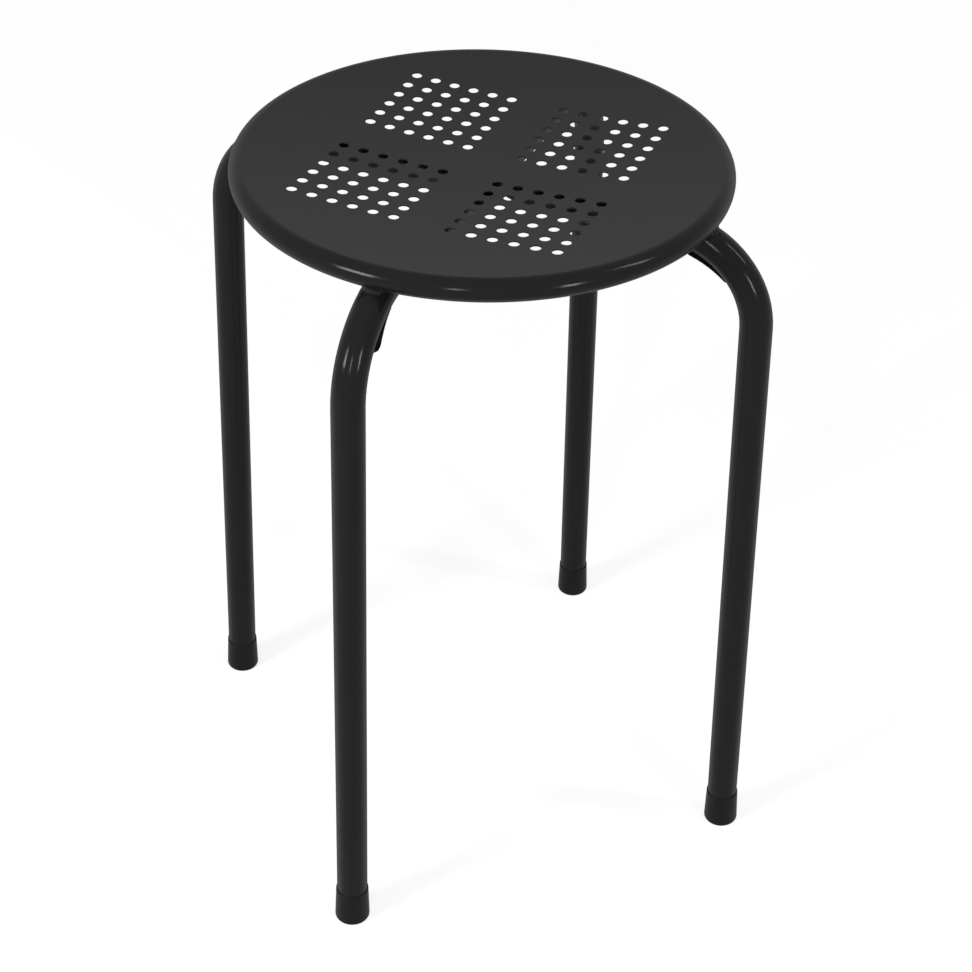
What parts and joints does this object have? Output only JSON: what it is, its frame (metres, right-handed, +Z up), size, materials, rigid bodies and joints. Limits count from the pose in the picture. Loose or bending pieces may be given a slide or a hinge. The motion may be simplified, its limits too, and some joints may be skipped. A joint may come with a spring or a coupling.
{
  "type": "stacking stool",
  "caption": "Backless round stacking stool: perforated pressed-steel seat pan with a rolled rim on two crossed bent-tube leg frames with push-on foot caps.",
  "frame": {"origin": "on the floor under the middle of the seat", "axes": "+Z up; front leg at -Y, right leg at +X, back leg at +Y, left leg at -X"},
  "size_m": [0.385, 0.385, 0.45],
  "materials": {
    "seat_coating": "dark grey powder coat on pressed sheet steel, fine matt texture",
    "frame_coating": "dark grey powder coat on steel tube and welds, satin",
    "foot_cap_plastic": "black moulded plastic, matt",
    "stacking_pad_plastic": "black moulded plastic, matt"
  },
  "bodies": {
    "root": {"seat_pan": "seat_coating", "upper_leg_frame": "frame_coating", "lower_leg_frame": "frame_coating", "crossing_weld": "frame_coating", "rim_weld_front": "frame_coating", "foot_cap_front": "foot_cap_plastic", "stacking_pad_front": "stacking_pad_plastic", "rim_weld_right": "frame_coating", "foot_cap_right": "foot_cap_plastic", "stacking_pad_right": "stacking_pad_plastic", "rim_weld_back": "frame_coating", "foot_cap_back": "foot_cap_plastic", "stacking_pad_back": "stacking_pad_plastic", "rim_weld_left": "frame_coating", "foot_cap_left": "foot_cap_plastic", "stacking_pad_left": "stacking_pad_plastic"}
  },
  "joints": []
}
